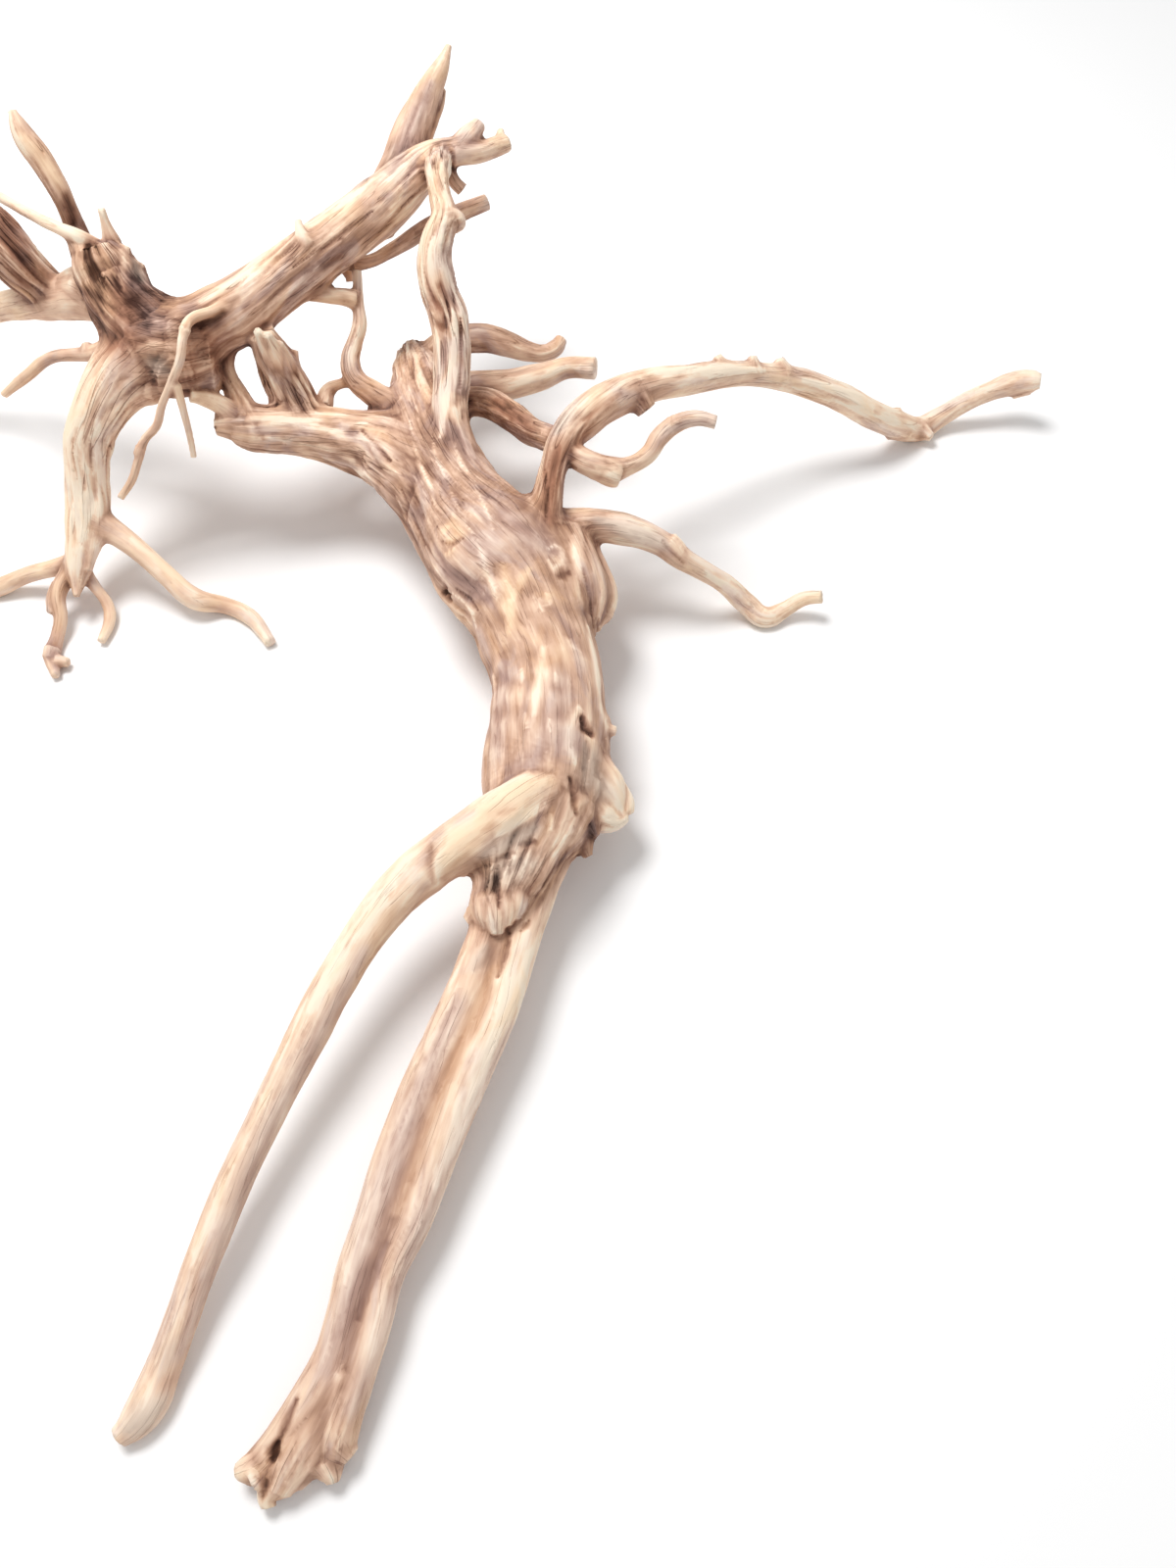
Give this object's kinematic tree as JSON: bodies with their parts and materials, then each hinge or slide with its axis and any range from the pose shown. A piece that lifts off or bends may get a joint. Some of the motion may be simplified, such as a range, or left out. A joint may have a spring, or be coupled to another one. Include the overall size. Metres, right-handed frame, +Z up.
{
  "type": "mangrove root",
  "caption": "Bleached mangrove root grown in one piece: a bent trunk with long legs, a raised cross limb, broken stumps and curling rootlets, lying on its feet and elbows.",
  "frame": {"origin": "middle of the root's box, on the surface that it lies on", "axes": "+Z up from the surface, +Y from the ends of the long legs towards the raised cross limb, +X towards the long curling side root"},
  "size_m": [0.7414, 0.7556, 0.2049],
  "materials": {
    "bleached_wood": "matte, sun-bleached and worn smooth, streaked along the grain"
  },
  "bodies": {
    "root": {"mangrove_root": "bleached_wood"}
  },
  "joints": []
}
